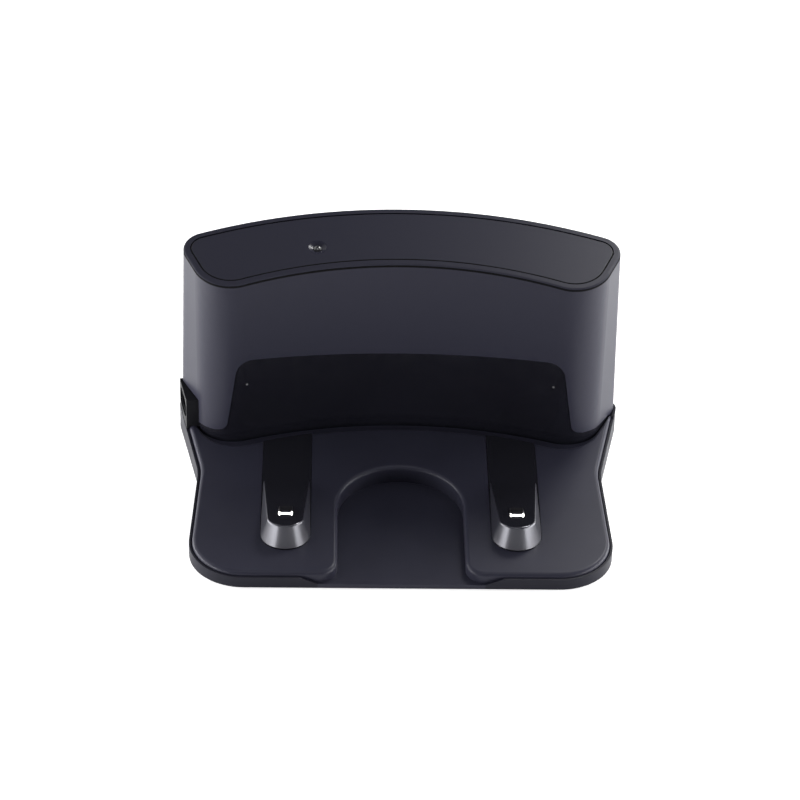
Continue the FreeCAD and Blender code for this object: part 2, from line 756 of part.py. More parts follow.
def contact_leaf():
    """Right-hand leaf spring: a foot on the seat, a hairpin bend and an arm under the contact."""
    y, z, radius = leaf_bend()
    tilt = math.radians(POD_SLOPE)
    x = POD_X - LEAF_WIDTH / 2
    centre = V(x, y, z)
    down = V(0, 0, -1)
    up = V(0, math.sin(tilt), math.cos(tilt))
    arm = V(0, -math.cos(tilt), math.sin(tilt)) * LEAF_ARM
    foot = V(0, -LEAF_FOOT, 0)
    outer = radius + LEAF_THICK / 2
    inner = radius - LEAF_THICK / 2
    out_arc = [centre + down * outer, centre + V(0, outer, 0), centre + up * outer]
    in_arc = [centre + up * inner, centre + V(0, inner, 0), centre + down * inner]
    edges = [span(out_arc[0] + foot, out_arc[0]), span(out_arc[0], out_arc[2], out_arc[1])]
    edges += [span(out_arc[2], out_arc[2] + arm), span(out_arc[2] + arm, in_arc[0] + arm)]
    edges += [span(in_arc[0] + arm, in_arc[0]), span(in_arc[0], in_arc[2], in_arc[1])]
    edges += [span(in_arc[2], in_arc[2] + foot), span(in_arc[2] + foot, out_arc[0] + foot)]
    strip = Part.Face(Part.Wire(edges)).extrude(V(LEAF_WIDTH, 0, 0))
    tab_x = (POD_X, POD_X + LEAF_WIDTH / 2 + LEAF_TAB)
    tab_y = (y - LEAF_FOOT, y - LEAF_FOOT + LEAF_TAB_LENGTH)
    return joined(strip, box(tab_x, tab_y, (LEAF_SEAT_Z, LEAF_SEAT_Z + LEAF_THICK)))


def lead_x():
    return POD_X + LEAF_WIDTH / 2 + LEAF_TAB - LEAD_DIAMETER


def lead_rise(side):
    """Where a contact lead turns up through the shelf to the power board."""
    return side * lead_x(), POWER_BOARD_Y + POWER_BOARD_DEPTH / 2


def contact_lead():
    """Right-hand lead: from the leaf's tab, along the tray and up to the power board."""
    x, rise_y = lead_rise(1)
    start = V(x, leaf_bend()[0] - LEAF_FOOT, LEAF_SEAT_Z + LEAF_THICK + LEAD_DIAMETER / 2)
    turn = V(x, rise_y - LEAD_BEND_R, start.z)
    lift = V(x, rise_y, start.z + LEAD_BEND_R)
    bend_mid = V(x, rise_y - LEAD_BEND_R, lift.z) + V(0, 1, -1) * (LEAD_BEND_R * math.sqrt(0.5))
    path = Part.Wire([
        span(start, turn),
        span(turn, lift, bend_mid),
        span(lift, V(x, rise_y, POWER_BOARD_Z)),
    ])
    section = Part.Wire(Part.makeCircle(LEAD_DIAMETER / 2, start, V(0, 1, 0)))
    return path.makePipeShell([section], True, False)


# Tower

def inlet_space(grow):
    """Room that the inlet block takes up in the tower and on the plate."""
    back = INLET_FRONT_Y + INLET_LENGTH
    inner = -WIDTH / 2 + INLET_REACH + TRAY_WALL
    return box((-WIDTH, inner + grow), (INLET_FRONT_Y - grow, back + grow), (0, INLET_TOP_Z + grow))


def tower_shell():
    body = tower(0).cut(above(line_of(top_z)))
    body = body.makeFillet(TOP_EDGE_R, edges_at(body, top_z))
    body = body.cut(tower(TOWER_WALL).cut(above(line_of(top_z, LID_THICK + LEDGE_THICK))))
    body = body.cut(tower(RIM_WIDTH + LEDGE_WIDTH))
    body = body.cut(tower(RIM_WIDTH).cut(below(line_of(top_z, LID_THICK))))
    body = body.cut(window_room(0))
    body = body.cut(below(leg_line()))
    body = body.cut(below([(0, REAR_WALL_TOP), (DEPTH + BEYOND, REAR_WALL_TOP)]))
    z_range = (SHELF_Z, SHELF_Z + TOWER_POST_HEIGHT)
    inside = tower(TOWER_WALL / 2).cut(below([(0, REAR_WALL_TOP), (DEPTH + BEYOND, REAR_WALL_TOP)]))
    for x, y in tower_screw_places():
        web = box((x - BOSS_R / 2, x + BOSS_R / 2), (y, DEPTH), z_range).common(inside)
        body = joined(body, post(x, y, *z_range, BOSS_R), web)
    for x, y in tower_screw_places():
        body = body.cut(screw_hole(x, y, 0, SHELF_Z + SCREW_GRIP + SLIP))
    return body.cut(inlet_space(SLIP))


def top_lid():
    slab = tower(RIM_WIDTH + LID_GAP).cut(above(line_of(top_z)))
    slab = slab.cut(below(line_of(top_z, LID_THICK)))
    slab = slab.makeFillet(LID_EDGE_R, edges_at(slab, top_z))
    rib_inset = RIM_WIDTH + LEDGE_WIDTH + LID_GAP
    rib = tower_band(rib_inset, rib_inset + LID_RIB).cut(above(line_of(top_z, LID_THICK)))
    rib = rib.cut(below(line_of(top_z, LID_THICK + LID_RIB_DEPTH)))
    reach = STATUS_BOARD_SIZE[0] / 2 - STATUS_POST_R
    posts = []
    for name, side in SIDES:
        foot = V(side * reach, 0, -LIGHT_LENGTH)
        posts.append(light_frame(rod(foot, V(foot.x, 0, -LID_THICK / 2), STATUS_POST_R)))
    body = joined(slab, rib, *posts)
    dimple = Part.makeCone(LIGHT_DIAMETER / 2, DIMPLE_DIAMETER / 2, DIMPLE_DEPTH, V(0, 0, -DIMPLE_DEPTH))
    hole = Part.makeCylinder(LIGHT_DIAMETER / 2 + SCREW_FIT, 2 * LID_THICK, V(0, 0, -LID_THICK - SLIP))
    return body.cut(light_frame(dimple)).cut(light_frame(hole))


def light_frame(shape):
    """Sets a shape made about the origin square to the sloped top, where the status light is."""
    tilt = FreeCAD.Rotation(V(1, 0, 0), TOP_SLOPE)
    place = FreeCAD.Placement(V(LIGHT_X, LIGHT_Y, top_z(LIGHT_Y)), tilt)
    shape.Placement = place.multiply(shape.Placement)
    return shape


def status_light():
    """Light pipe with a domed top, standing on the lamp under the lid."""
    radius = LIGHT_DIAMETER / 2
    crown = LIGHT_PROUD + DIMPLE_DEPTH
    dome_r = (radius ** 2 + crown ** 2) / (2 * crown)
    dome = Part.makeSphere(dome_r, V(0, 0, LIGHT_PROUD - dome_r))
    pipe = post(0, 0, STATUS_LED_SIZE[2] - LIGHT_LENGTH, -DIMPLE_DEPTH, radius)
    return light_frame(joined(pipe, post(0, 0, -DIMPLE_DEPTH, LIGHT_PROUD, radius).common(dome)))


def status_board():
    length, depth = STATUS_BOARD_SIZE
    low = -LIGHT_LENGTH - BOARD_THICK
    return light_frame(box((-length / 2, length / 2), (-depth / 2, depth / 2), (low, -LIGHT_LENGTH)))


def status_led():
    length, depth, height = STATUS_LED_SIZE
    z_range = (-LIGHT_LENGTH, -LIGHT_LENGTH + height)
    return light_frame(box((-length / 2, length / 2), (-depth / 2, depth / 2), z_range))


def ir_window():
    """Dark window with a flange behind the shell, and a plinth that goes round under the legs."""
    flange_in = TOWER_WALL + CURVE_FIT
    back_in = flange_in + WINDOW_FLANGE_THICK
    land = tower_band(WINDOW_SET, back_in).common(window_room(WINDOW_GAP))
    flange = tower_band(flange_in, back_in).common(window_room(-WINDOW_FLANGE))
    plinth = tower_band(WINDOW_SET, back_in).cut(above(leg_line(SLIP)))
    plinth = plinth.common(box((-WIDTH, WIDTH), (0, REAR_WALL_Y - SLIP), (0, HEIGHT)))
    body = joined(land, flange, plinth)
    body = body.cut(below([(0, SHELF_Z), (DEPTH, SHELF_Z)])).cut(inlet_space(SLIP))
    body = body.cut(box((-WIDTH, WIDTH), (REAR_WALL_Y - SLIP, DEPTH), (0, HEIGHT)))
    extras = []
    for name, angle in ir_angles():
        extras += [about_bay(peg, angle) for peg in ir_pegs()]
        if angle:
            extras.append(about_bay(ir_pip(), angle))
    return joined(body, *extras)


# Infrared emitters behind the window, alike at three angles about the bay

def ir_angles():
    angle = math.degrees(math.asin((WIDTH / 2 - EMITTER_SET) / BAY_R))
    return (("left", angle), ("centre", 0.0), ("right", -angle))


def about_bay(shape, angle):
    shape.rotate(V(0, TOWER_FRONT_Y - BAY_R, 0), V(0, 0, 1), angle)
    return shape


def tower_front(z):
    """Depth of the tower's front on the centre line."""
    return TOWER_FRONT_Y + FRONT_LEAN * (z - TOWER_FOOT_Z) / (HEIGHT - TOWER_FOOT_Z)


def ir_window_back():
    """Depth of the back of the window on the centre line, at the height of the emitters."""
    return tower_front(EMITTER_Z) + TOWER_WALL + CURVE_FIT + WINDOW_FLANGE_THICK


def ir_pip():
    """Small lens that stands out of the window in front of an outer emitter."""
    y = tower_front(EMITTER_Z) + WINDOW_SET + PIP_R - PIP_PROUD
    return Part.makeSphere(PIP_R, V(0, y, EMITTER_Z))


def ir_board_y():
    return ir_window_back() + EMITTER_LENGTH + SLIP


def ir_pegs():
    reach = IR_BOARD_SIZE[0] / 2 - IR_PEG_R
    start = ir_window_back() - SLIP
    ends = [(V(s * reach, start, EMITTER_Z), V(s * reach, ir_board_y(), EMITTER_Z)) for name, s in SIDES]
    return [rod(low, high, IR_PEG_R) for low, high in ends]


def ir_board(angle):
    length, height = IR_BOARD_SIZE
    y = ir_board_y()
    z_range = (EMITTER_Z - height / 2, EMITTER_Z + height / 2)
    return about_bay(box((-length / 2, length / 2), (y, y + BOARD_THICK), z_range), angle)


def ir_emitter(angle):
    radius = EMITTER_DIAMETER / 2
    y = ir_board_y()
    body = rod(V(0, y, EMITTER_Z), V(0, y - EMITTER_LENGTH + radius, EMITTER_Z), radius)
    dome = Part.makeSphere(radius, V(0, y - EMITTER_LENGTH + radius, EMITTER_Z))
    return about_bay(joined(body, dome), angle)


# Power supply

def power_board():
    half = POWER_BOARD_LENGTH / 2
    y_range = (POWER_BOARD_Y, POWER_BOARD_Y + POWER_BOARD_DEPTH)
    board = box((-half, half), y_range, (POWER_BOARD_Z, POWER_BOARD_Z + BOARD_THICK))
    for x, y in board_post_places():
        board = board.cut(screw_hole(x, y, 0, HEIGHT))
    return board


def on_board(size, x):
    """A block in the middle of the power board's depth."""
    y = POWER_BOARD_Y + POWER_BOARD_DEPTH / 2
    low = POWER_BOARD_Z + BOARD_THICK
    length, depth, height = size
    return box((x - length / 2, x + length / 2), (y - depth / 2, y + depth / 2), (low, low + height))


def transformer():
    """Wound core: a square frame with a rounder bobbin through it."""
    length, depth, height = TRANSFORMER_SIZE
    core = on_board((length, depth * 0.6, height), POWER_BOARD_LENGTH / 6)
    bobbin = on_board((length * 0.6, depth, height * 0.8), POWER_BOARD_LENGTH / 6)
    edges = [edge for edge in bobbin.Edges if edge.BoundBox.ZLength > height / 2]
    return joined(core, bobbin.makeFillet(length * 0.15, edges))


def bulk_capacitor():
    y = POWER_BOARD_Y + POWER_BOARD_DEPTH / 2
    low = POWER_BOARD_Z + BOARD_THICK
    can = post(-POWER_BOARD_LENGTH / 6, y, low, low + CAPACITOR_HEIGHT, CAPACITOR_DIAMETER / 2)
    return can.makeFillet(CAPACITOR_DIAMETER / 10, edges_at(can, lambda depth: low + CAPACITOR_HEIGHT))


def terminal_x():
    return -POWER_BOARD_LENGTH / 2 + 2 * BOARD_POST_INSET + TERMINAL_SIZE[0]


def terminal_block():
    return on_board(TERMINAL_SIZE, terminal_x())


# Power inlet

def inlet_frame(shape):
    """Sets a shape on the middle of the inlet's outer face, with its X axis pointing in."""
    front_corner, side_out, hollow, flare_out, rear_corner, back = base_centres()
    y = INLET_FRONT_Y + INLET_LENGTH / 2
    on_flare = rear_corner + flare_out * (REAR_CORNER_R - INLET_FLUSH)
    along = V(-flare_out.y, flare_out.x, 0)
    place = on_flare + along * ((y - on_flare.y) / along.y)
    turn = FreeCAD.Rotation(V(0, 0, 1), math.degrees(math.atan2(-flare_out.y, flare_out.x)))
    frame = FreeCAD.Placement(V(-place.x, place.y, SOCKET_Z), turn)
    shape.Placement = frame.multiply(shape.Placement)
    return shape


def racetrack(width, height, near, far):
    """A slot with round ends, lying across the inlet's face."""
    radius = height / 2
    reach = width / 2 - radius
    ends = [rod(V(near, s * reach, 0), V(far, s * reach, 0), radius) for name, s in SIDES]
    middle = box((near, far), (-reach, reach), (-radius, radius))
    return ends[0].fuse([ends[1], middle]).removeSplitter()


def power_inlet():
    plan = prism(base_ring(INLET_FLUSH), 0, HEIGHT)
    block = plan.common(inlet_space(0))
    on_plate = prism(base_ring(PLATE_INSET), 0, HEIGHT).common(below(line_of(plate_z)))
    block = block.cut(on_plate).cut(below(line_of(plate_z, RIM_DROP)))
    block = block.cut(box((-WIDTH, 0), (REAR_WALL_Y - SLIP, DEPTH), (0, REAR_WALL_TOP)))
    frame_width = SOCKET_WIDTH + 2 * SOCKET_FRAME
    frame_height = SOCKET_HEIGHT + 2 * SOCKET_FRAME
    block = block.cut(inlet_frame(racetrack(frame_width, frame_height, -BEYOND, SOCKET_FRAME_DEPTH)))
    block = block.cut(inlet_frame(racetrack(SOCKET_WIDTH, SOCKET_HEIGHT, -BEYOND, SOCKET_DEPTH)))
    for pin in inlet_pin_rods(SCREW_FIT):
        block = block.cut(pin)
    return block


def inlet_pin_rods(grow):
    near = SOCKET_DEPTH - PIN_LENGTH
    far = INLET_REACH + TRAY_WALL + PIN_TAIL
    pins = []
    for name, side in SIDES:
        y = side * PIN_SPACING / 2
        pins.append(inlet_frame(rod(V(near, y, 0), V(far, y, 0), PIN_DIAMETER / 2 + grow)))
    return pins


def inlet_pins():
    return Part.makeCompound(inlet_pin_rods(0))


def mains_leads():
    """Two short wires from the pins' tails to the terminal block."""
    far = INLET_REACH + TRAY_WALL + PIN_TAIL
    low = POWER_BOARD_Z + BOARD_THICK
    x = terminal_x() - TERMINAL_SIZE[0] / 2
    middle = POWER_BOARD_Y + POWER_BOARD_DEPTH / 2
    leads = []
    for name, side in SIDES:
        tail = inlet_frame(Part.Vertex(far, side * PIN_SPACING / 2, 0)).Point
        end = V(x, middle + side * TERMINAL_SIZE[1] / 4, low + TERMINAL_SIZE[2] / 2)
        trim = unit(end - tail) * FIT
        leads.append(rod(tail + trim, end - trim, LEAD_DIAMETER / 2))
    return Part.makeCompound(leads)


def signal_leads():
    """Wires from the small boards down to the power board."""
    top = POWER_BOARD_Z + BOARD_THICK + SIGNAL_DIAMETER / 2
    y = POWER_BOARD_Y + BOARD_POST_INSET
    reach = POWER_BOARD_LENGTH / 2 - 3 * BOARD_POST_INSET
    leads = []
    for name, angle in ir_angles():
        start = V(0, ir_board_y() + BOARD_THICK + SIGNAL_DIAMETER / 2, EMITTER_Z)
        board = about_bay(Part.Vertex(start), angle).Point
        end = V(max(min(board.x, reach), -reach), max(board.y, y), top)
        leads.append(rod(board, end, SIGNAL_DIAMETER / 2))
    lamp_z = top_z(LIGHT_Y, LIGHT_LENGTH + BOARD_THICK + STATUS_BOARD_SIZE[1] / 2)
    leads.append(rod(V(LIGHT_X, LIGHT_Y, lamp_z), V(LIGHT_X, LIGHT_Y, top), SIGNAL_DIAMETER / 2))
    return Part.makeCompound(leads)


# Saving: the part's origin is on the floor, under the middle of the base

def save(name, shape):
    shape.translate(V(0, -DEPTH / 2, 0))
    shape.exportStep(os.path.join("parts", name + ".step"))
    print(name, len(shape.Solids), shape.isValid(), round(shape.Volume, 1))


os.makedirs("parts", exist_ok=True)
save("base_tray", base_tray())
save("base_plate", base_plate())
save("rubber_feet", rubber_feet())
save("base_screws", base_screws())
save("tower_screws", tower_screws())
save("tower_shell", tower_shell())
save("top_lid", top_lid())
save("ir_window", ir_window())
save("status_light", status_light())
save("status_board", status_board())
save("status_led", status_led())
for place, turn in ir_angles():
    save("ir_board_" + place, ir_board(turn))
    save("ir_emitter_" + place, ir_emitter(turn))
for place, hand in SIDES:
    save("contact_pod_" + place, on_side(contact_pod(), hand))
    save("contact_" + place, on_side(contact(), hand))
    save("contact_leaf_" + place, on_side(contact_leaf(), hand))
    save("contact_lead_" + place, on_side(contact_lead(), hand))
save("power_board", power_board())
save("board_screws", board_screws())
save("transformer", transformer())
save("bulk_capacitor", bulk_capacitor())
save("terminal_block", terminal_block())
save("power_inlet", power_inlet())
save("inlet_pins", inlet_pins())
save("mains_leads", mains_leads())
save("signal_leads", signal_leads())
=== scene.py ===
import json
import math

import bmesh
import bpy
from mathutils import Matrix, Vector


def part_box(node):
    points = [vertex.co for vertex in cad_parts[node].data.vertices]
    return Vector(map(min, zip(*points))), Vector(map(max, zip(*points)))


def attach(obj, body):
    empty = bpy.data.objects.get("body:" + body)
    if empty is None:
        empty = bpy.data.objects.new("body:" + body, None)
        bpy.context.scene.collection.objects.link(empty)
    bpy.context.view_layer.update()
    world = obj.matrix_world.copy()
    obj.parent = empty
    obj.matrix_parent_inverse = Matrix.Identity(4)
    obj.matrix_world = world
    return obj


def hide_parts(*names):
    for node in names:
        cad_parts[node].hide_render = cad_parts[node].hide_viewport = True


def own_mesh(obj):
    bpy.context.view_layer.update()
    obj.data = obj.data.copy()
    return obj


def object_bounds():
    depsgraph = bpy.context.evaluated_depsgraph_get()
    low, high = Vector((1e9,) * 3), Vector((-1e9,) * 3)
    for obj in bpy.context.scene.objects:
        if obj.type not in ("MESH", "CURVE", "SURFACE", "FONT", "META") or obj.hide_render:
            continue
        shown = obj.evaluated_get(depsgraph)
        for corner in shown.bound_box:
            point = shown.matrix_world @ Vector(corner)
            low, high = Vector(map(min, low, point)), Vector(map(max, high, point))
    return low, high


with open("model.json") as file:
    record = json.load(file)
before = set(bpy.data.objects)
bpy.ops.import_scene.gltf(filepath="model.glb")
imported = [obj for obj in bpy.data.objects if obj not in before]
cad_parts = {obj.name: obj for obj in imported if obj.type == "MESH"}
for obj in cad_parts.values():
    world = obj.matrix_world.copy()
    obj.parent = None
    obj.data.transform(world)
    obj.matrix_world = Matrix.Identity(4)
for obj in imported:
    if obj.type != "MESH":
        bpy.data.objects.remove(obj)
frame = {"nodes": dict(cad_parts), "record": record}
CAD_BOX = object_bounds()
NODES = frame["nodes"]
SIDES = (("left", -1), ("right", 1))

MM = 0.001
WELD = 0.002 * MM
FLAT_ANGLE = math.radians(0.4)
SHARP_ANGLE = math.radians(35)
FACET_ANGLE = math.radians(18)

# Camera: the view of the photograph, as a long lens aimed down at the middle of the front lip
IMAGE_WIDTH = 800
SENSOR_WIDTH = 36.0
FOCAL_PIXELS = 3044.0
CAMERA_REACH = 1.5
CAMERA_ELEVATION = math.radians(34.5)
CAMERA_SWING = math.radians(-1.657)
CAMERA_ROLL = math.radians(1.465)
LIP_PIXEL = (401.6, 589.2)


# Finishes: small helpers that wire nodes into a principled shader

SIGNAL_LOW = 0.3
SIGNAL_HIGH = 0.7


def finish(name, colour, roughness, **sockets):
    material = bpy.data.materials.new(name)
    material.use_nodes = True
    shader = material.node_tree.nodes["Principled BSDF"]
    shader.inputs["Base Color"].default_value = (*colour, 1.0)
    shader.inputs["Roughness"].default_value = roughness
    for socket, value in sockets.items():
        shader.inputs[socket.replace("_", " ")].default_value = value
    return material


def shader_of(material):
    return material.node_tree.nodes["Principled BSDF"]


def add_node(material, kind):
    return material.node_tree.nodes.new(kind)


def wire(material, source, target):
    material.node_tree.links.new(source, target)


def speckle(material, size, detail=2.0, stretch=(1.0, 1.0, 1.0)):
    """Noise whose spots are about this size, in metres, longer where stretch is larger."""
    place = add_node(material, "ShaderNodeTexCoord")
    mapping = add_node(material, "ShaderNodeMapping")
    noise = add_node(material, "ShaderNodeTexNoise")
    mapping.inputs["Scale"].default_value = [1.0 / (size * factor) for factor in stretch]
    noise.inputs["Scale"].default_value = 1.0
    noise.inputs["Detail"].default_value = detail
    wire(material, place.outputs["Object"], mapping.inputs["Vector"])
    wire(material, mapping.outputs["Vector"], noise.inputs["Vector"])
    return noise.outputs["Fac"]


def vary(material, signal, socket, low, high):
    """Lets a signal move a shader value between two limits."""
    spread = add_node(material, "ShaderNodeMapRange")
    spread.inputs["From Min"].default_value = SIGNAL_LOW
    spread.inputs["From Max"].default_value = SIGNAL_HIGH
    spread.inputs["To Min"].default_value = low
    spread.inputs["To Max"].default_value = high
    wire(material, signal, spread.inputs["Value"])
    wire(material, spread.outputs["Result"], shader_of(material).inputs[socket])


def tint(material, signal, dark, light):
    """Lets a signal move the colour between two tones."""
    ramp = add_node(material, "ShaderNodeValToRGB")
    ramp.color_ramp.elements[0].position = SIGNAL_LOW
    ramp.color_ramp.elements[1].position = SIGNAL_HIGH
    ramp.color_ramp.elements[0].color = (*dark, 1.0)
    ramp.color_ramp.elements[1].color = (*light, 1.0)
    wire(material, signal, ramp.inputs["Fac"])
    wire(material, ramp.outputs["Color"], shader_of(material).inputs["Base Color"])


def grain(material, signal, depth, strength=1.0):
    """Lets a signal raise the surface by a small depth, in metres."""
    bump = add_node(material, "ShaderNodeBump")
    bump.inputs["Strength"].default_value = strength
    bump.inputs["Distance"].default_value = depth
    wire(material, signal, bump.inputs["Height"])
    wire(material, bump.outputs["Normal"], shader_of(material).inputs["Normal"])


def shade(colour, factor):
    return [channel * factor for channel in colour]


# Finishes of the dock

SHELL_COLOUR = (0.0180, 0.0180, 0.0290)
TRAY_COLOUR = (0.0090, 0.0090, 0.0150)
GLOSS_COLOUR = (0.0060, 0.0060, 0.0090)
POD_TOP_FACING = 0.90
POD_TOP_FADE = 0.03
POD_TOP_ROUGHNESS = 0.14
FLANK_ROUGHNESS = 0.29
POD_COLOUR = (0.0085, 0.0085, 0.0115)
# The flanks' lighter tone is partly their satin finish and partly a painted sheen.
FLANK_SATIN_AND_SHEEN_COLOUR = (0.0110, 0.0110, 0.0160)
POD_SHEEN = (0.92, 0.92, 1.0, 1.0)
INLET_COLOUR = (0.0045, 0.0045, 0.0060)
# The pale tone of the lens pips is a painted glint.
PIP_GLINT_COLOUR = (0.060, 0.060, 0.065)
# Painted shade: a near-black band with a matt roughness, drawn under the tower's top edge and on the
# lid's rolled edge.
PAINTED_SHADE_COLOUR = (0.0010, 0.0010, 0.0015)
SHADE_LINE_ROUGHNESS = 1.0
SHELL_ROUGHNESS = 0.40
SHELL_GLOSS = 0.18
SHELL_GRAIN = 0.35 * MM
TOP_SLOPE = math.radians(12)
TOP_NORMAL = Vector((0.0, -math.sin(TOP_SLOPE), math.cos(TOP_SLOPE)))
# Depth of the tower's painted shade line below its sloped top.
LINE_REACH = 10 * MM
LINE_TOP = 0.45 * MM
LINE_FOOT = 1.5 * MM
LID_FLAT_FACING = 0.96
LID_EDGE_FACING = 0.01
LAMP_SURROUND_R = 6.0 * MM
LAMP_SURROUND_FADE = 0.3 * MM
LAMP_SURROUND_ROUGHNESS = 0.24


def grained(name, colour, roughness, gloss):
    """Moulded plastic with a fine spark-eroded grain."""
    material = finish(name, colour, roughness, Specular_IOR_Level=gloss)
    grain(material, speckle(material, SHELL_GRAIN, 1.0), 0.008 * MM, 0.5)
    return material


def moulded_satin(name, colour, roughness, gloss):
    """Grained plastic with a faintly uneven sheen."""
    material = grained(name, colour, roughness, gloss)
    tint(material, speckle(material, 30 * MM, 3.0), shade(colour, 0.93), shade(colour, 1.07))
    vary(material, speckle(material, 12 * MM, 4.0), "Roughness", roughness - 0.03, roughness + 0.03)
    return material


def painted_shade_band(material, signal, band, socket, plain, dark):
    """Gives a band of a signal another tone, a painted shade line where a groove's shade falls."""
    ramp = add_node(material, "ShaderNodeValToRGB")
    ramp.color_ramp.interpolation = "CONSTANT"
    stops = ramp.color_ramp.elements
    stops[0].color = (*plain, 1.0)
    stops[1].position = band[0]
    stops[1].color = (*dark, 1.0)
    stops.new(band[1]).color = (*plain, 1.0)
    wire(material, signal, ramp.inputs["Fac"])
    wire(material, ramp.outputs["Color"], shader_of(material).inputs[socket])


def square_to_top(material, source):
    """How far a direction or a place lies along the normal of the dock's sloped top."""
    along = add_node(material, "ShaderNodeVectorMath")
    along.operation = "DOT_PRODUCT"
    along.inputs[1].default_value = TOP_NORMAL
    wire(material, source, along.inputs[0])
    return along.outputs["Value"]


def tower_satin():
    """Shell plastic with a painted shade line, dark and matt, just under the tower's top edge."""
    material = grained("tower_satin", SHELL_COLOUR, SHELL_ROUGHNESS, SHELL_GLOSS)
    place = add_node(material, "ShaderNodeTexCoord")
    depth = add_node(material, "ShaderNodeMapRange")
    top = max(TOP_NORMAL.dot(vertex.co) for vertex in NODES["tower_shell"].data.vertices)
    depth.inputs["From Min"].default_value = top
    depth.inputs["From Max"].default_value = top - LINE_REACH
    wire(material, square_to_top(material, place.outputs["Object"]), depth.inputs["Value"])
    band = (LINE_TOP / LINE_REACH, LINE_FOOT / LINE_REACH)
    line = depth.outputs["Result"]
    # Painted shade: a dark matt band just under the top edge, where the shade of a groove would fall.
    painted_shade_band(material, line, band, "Base Color", SHELL_COLOUR, PAINTED_SHADE_COLOUR)
    painted_shade_band(material, line, band, "Roughness", [SHELL_ROUGHNESS] * 3, [SHADE_LINE_ROUGHNESS] * 3)
    return material


def lid_satin():
    """Shell plastic whose rolled edge is painted dark by its facing, a painted shade of the joint, with
    a polished lamp surround.
    """
    material = grained("lid_satin", SHELL_COLOUR, SHELL_ROUGHNESS, SHELL_GLOSS)
    surface = add_node(material, "ShaderNodeNewGeometry")
    facing = square_to_top(material, surface.outputs["Normal"])
    place = add_node(material, "ShaderNodeTexCoord")
    reach = add_node(material, "ShaderNodeVectorMath")
    reach.operation = "DISTANCE"
    low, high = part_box("status_light")
    reach.inputs[1].default_value = [(a + b) / 2 for a, b in zip(low, high)]
    wire(material, place.outputs["Object"], reach.inputs[0])
    near = add_node(material, "ShaderNodeMapRange")
    near.inputs["From Min"].default_value = LAMP_SURROUND_R + LAMP_SURROUND_FADE
    near.inputs["From Max"].default_value = LAMP_SURROUND_R
    wire(material, reach.outputs["Value"], near.inputs["Value"])
    plain = add_node(material, "ShaderNodeMath")
    plain.operation = "MAXIMUM"
    wire(material, facing, plain.inputs[0])
    wire(material, near.outputs["Result"], plain.inputs[1])
    # Painted shade: the rolled edge darkens as it turns from the top, except near the lamp.
    edge = (LID_EDGE_FACING, LID_FLAT_FACING)
    painted_shade_band(material, plain.outputs["Value"], edge, "Base Color", SHELL_COLOUR, PAINTED_SHADE_COLOUR)
    vary(material, near.outputs["Result"], "Roughness", SHELL_ROUGHNESS, LAMP_SURROUND_ROUGHNESS)
    return material


def polished_black(name, colour, roughness, gloss=0.3):
    """Polished plastic with the slight waviness that moulding leaves, and a few dull specks."""
    material = finish(name, colour, roughness, Specular_IOR_Level=gloss)
    vary(material, speckle(material, 8 * MM, 5.0), "Roughness", roughness * 0.8, roughness * 1.25)
    tint(material, speckle(material, 40 * MM, 2.0), shade(colour, 0.9), shade(colour, 1.1))
    grain(material, speckle(material, 14 * MM, 1.0), 0.02 * MM, 0.35)
    return material


def polished_top():
    """Pod plastic: polished where it faces up, and satin on its drafted nose and flanks, which also take
    a lighter tone by facing, a painted sheen.
    """
    material = finish(
        "pod_plastic", POD_COLOUR, POD_TOP_ROUGHNESS, Specular_IOR_Level=1.0, Specular_Tint=POD_SHEEN
    )
    surface = add_node(material, "ShaderNodeNewGeometry")
    parts = add_node(material, "ShaderNodeSeparateXYZ")
    facing = add_node(material, "ShaderNodeMapRange")
    facing.inputs["From Min"].default_value = POD_TOP_FACING - POD_TOP_FADE
    facing.inputs["From Max"].default_value = POD_TOP_FACING + POD_TOP_FADE
    facing.inputs["To Min"].default_value = SIGNAL_LOW
    facing.inputs["To Max"].default_value = SIGNAL_HIGH
    wire(material, surface.outputs["Normal"], parts.inputs["Vector"])
    wire(material, parts.outputs["Z"], facing.inputs["Value"])
    # Painted sheen: the flanks take a lighter tone than the top, chosen by facing.
    tint(material, facing.outputs["Result"], FLANK_SATIN_AND_SHEEN_COLOUR, POD_COLOUR)
    vary(material, facing.outputs["Result"], "Roughness", FLANK_ROUGHNESS, POD_TOP_ROUGHNESS)
    return material


def nickel_plate():
    colour = (0.74, 0.72, 0.69)
    material = finish("nickel_plate", colour, 0.12, Metallic=1.0)
    rub = speckle(material, 0.08 * MM, 3.0, stretch=(1.0, 14.0, 14.0))
    vary(material, rub, "Roughness", 0.08, 0.16)
    tint(material, rub, shade(colour, 0.92), colour)
    return material


def bright_metal(name, colour, roughness):
    material = finish(name, colour, roughness, Metallic=1.0)
    rub = speckle(material, 0.5 * MM, 4.0)
    vary(material, rub, "Roughness", roughness * 0.75, roughness * 1.3)
    tint(material, rub, shade(colour, 0.8), colour)
    return material


def soft_rubber():
    colour = (0.018, 0.018, 0.019)
    material = finish("soft_rubber", colour, 0.8)
    dust = speckle(material, 1.5 * MM, 5.0)
    tint(material, dust, colour, shade(colour, 1.9))
    vary(material, dust, "Roughness", 0.7, 0.9)
    grain(material, speckle(material, 0.4 * MM, 2.0), 0.03 * MM)
    return material


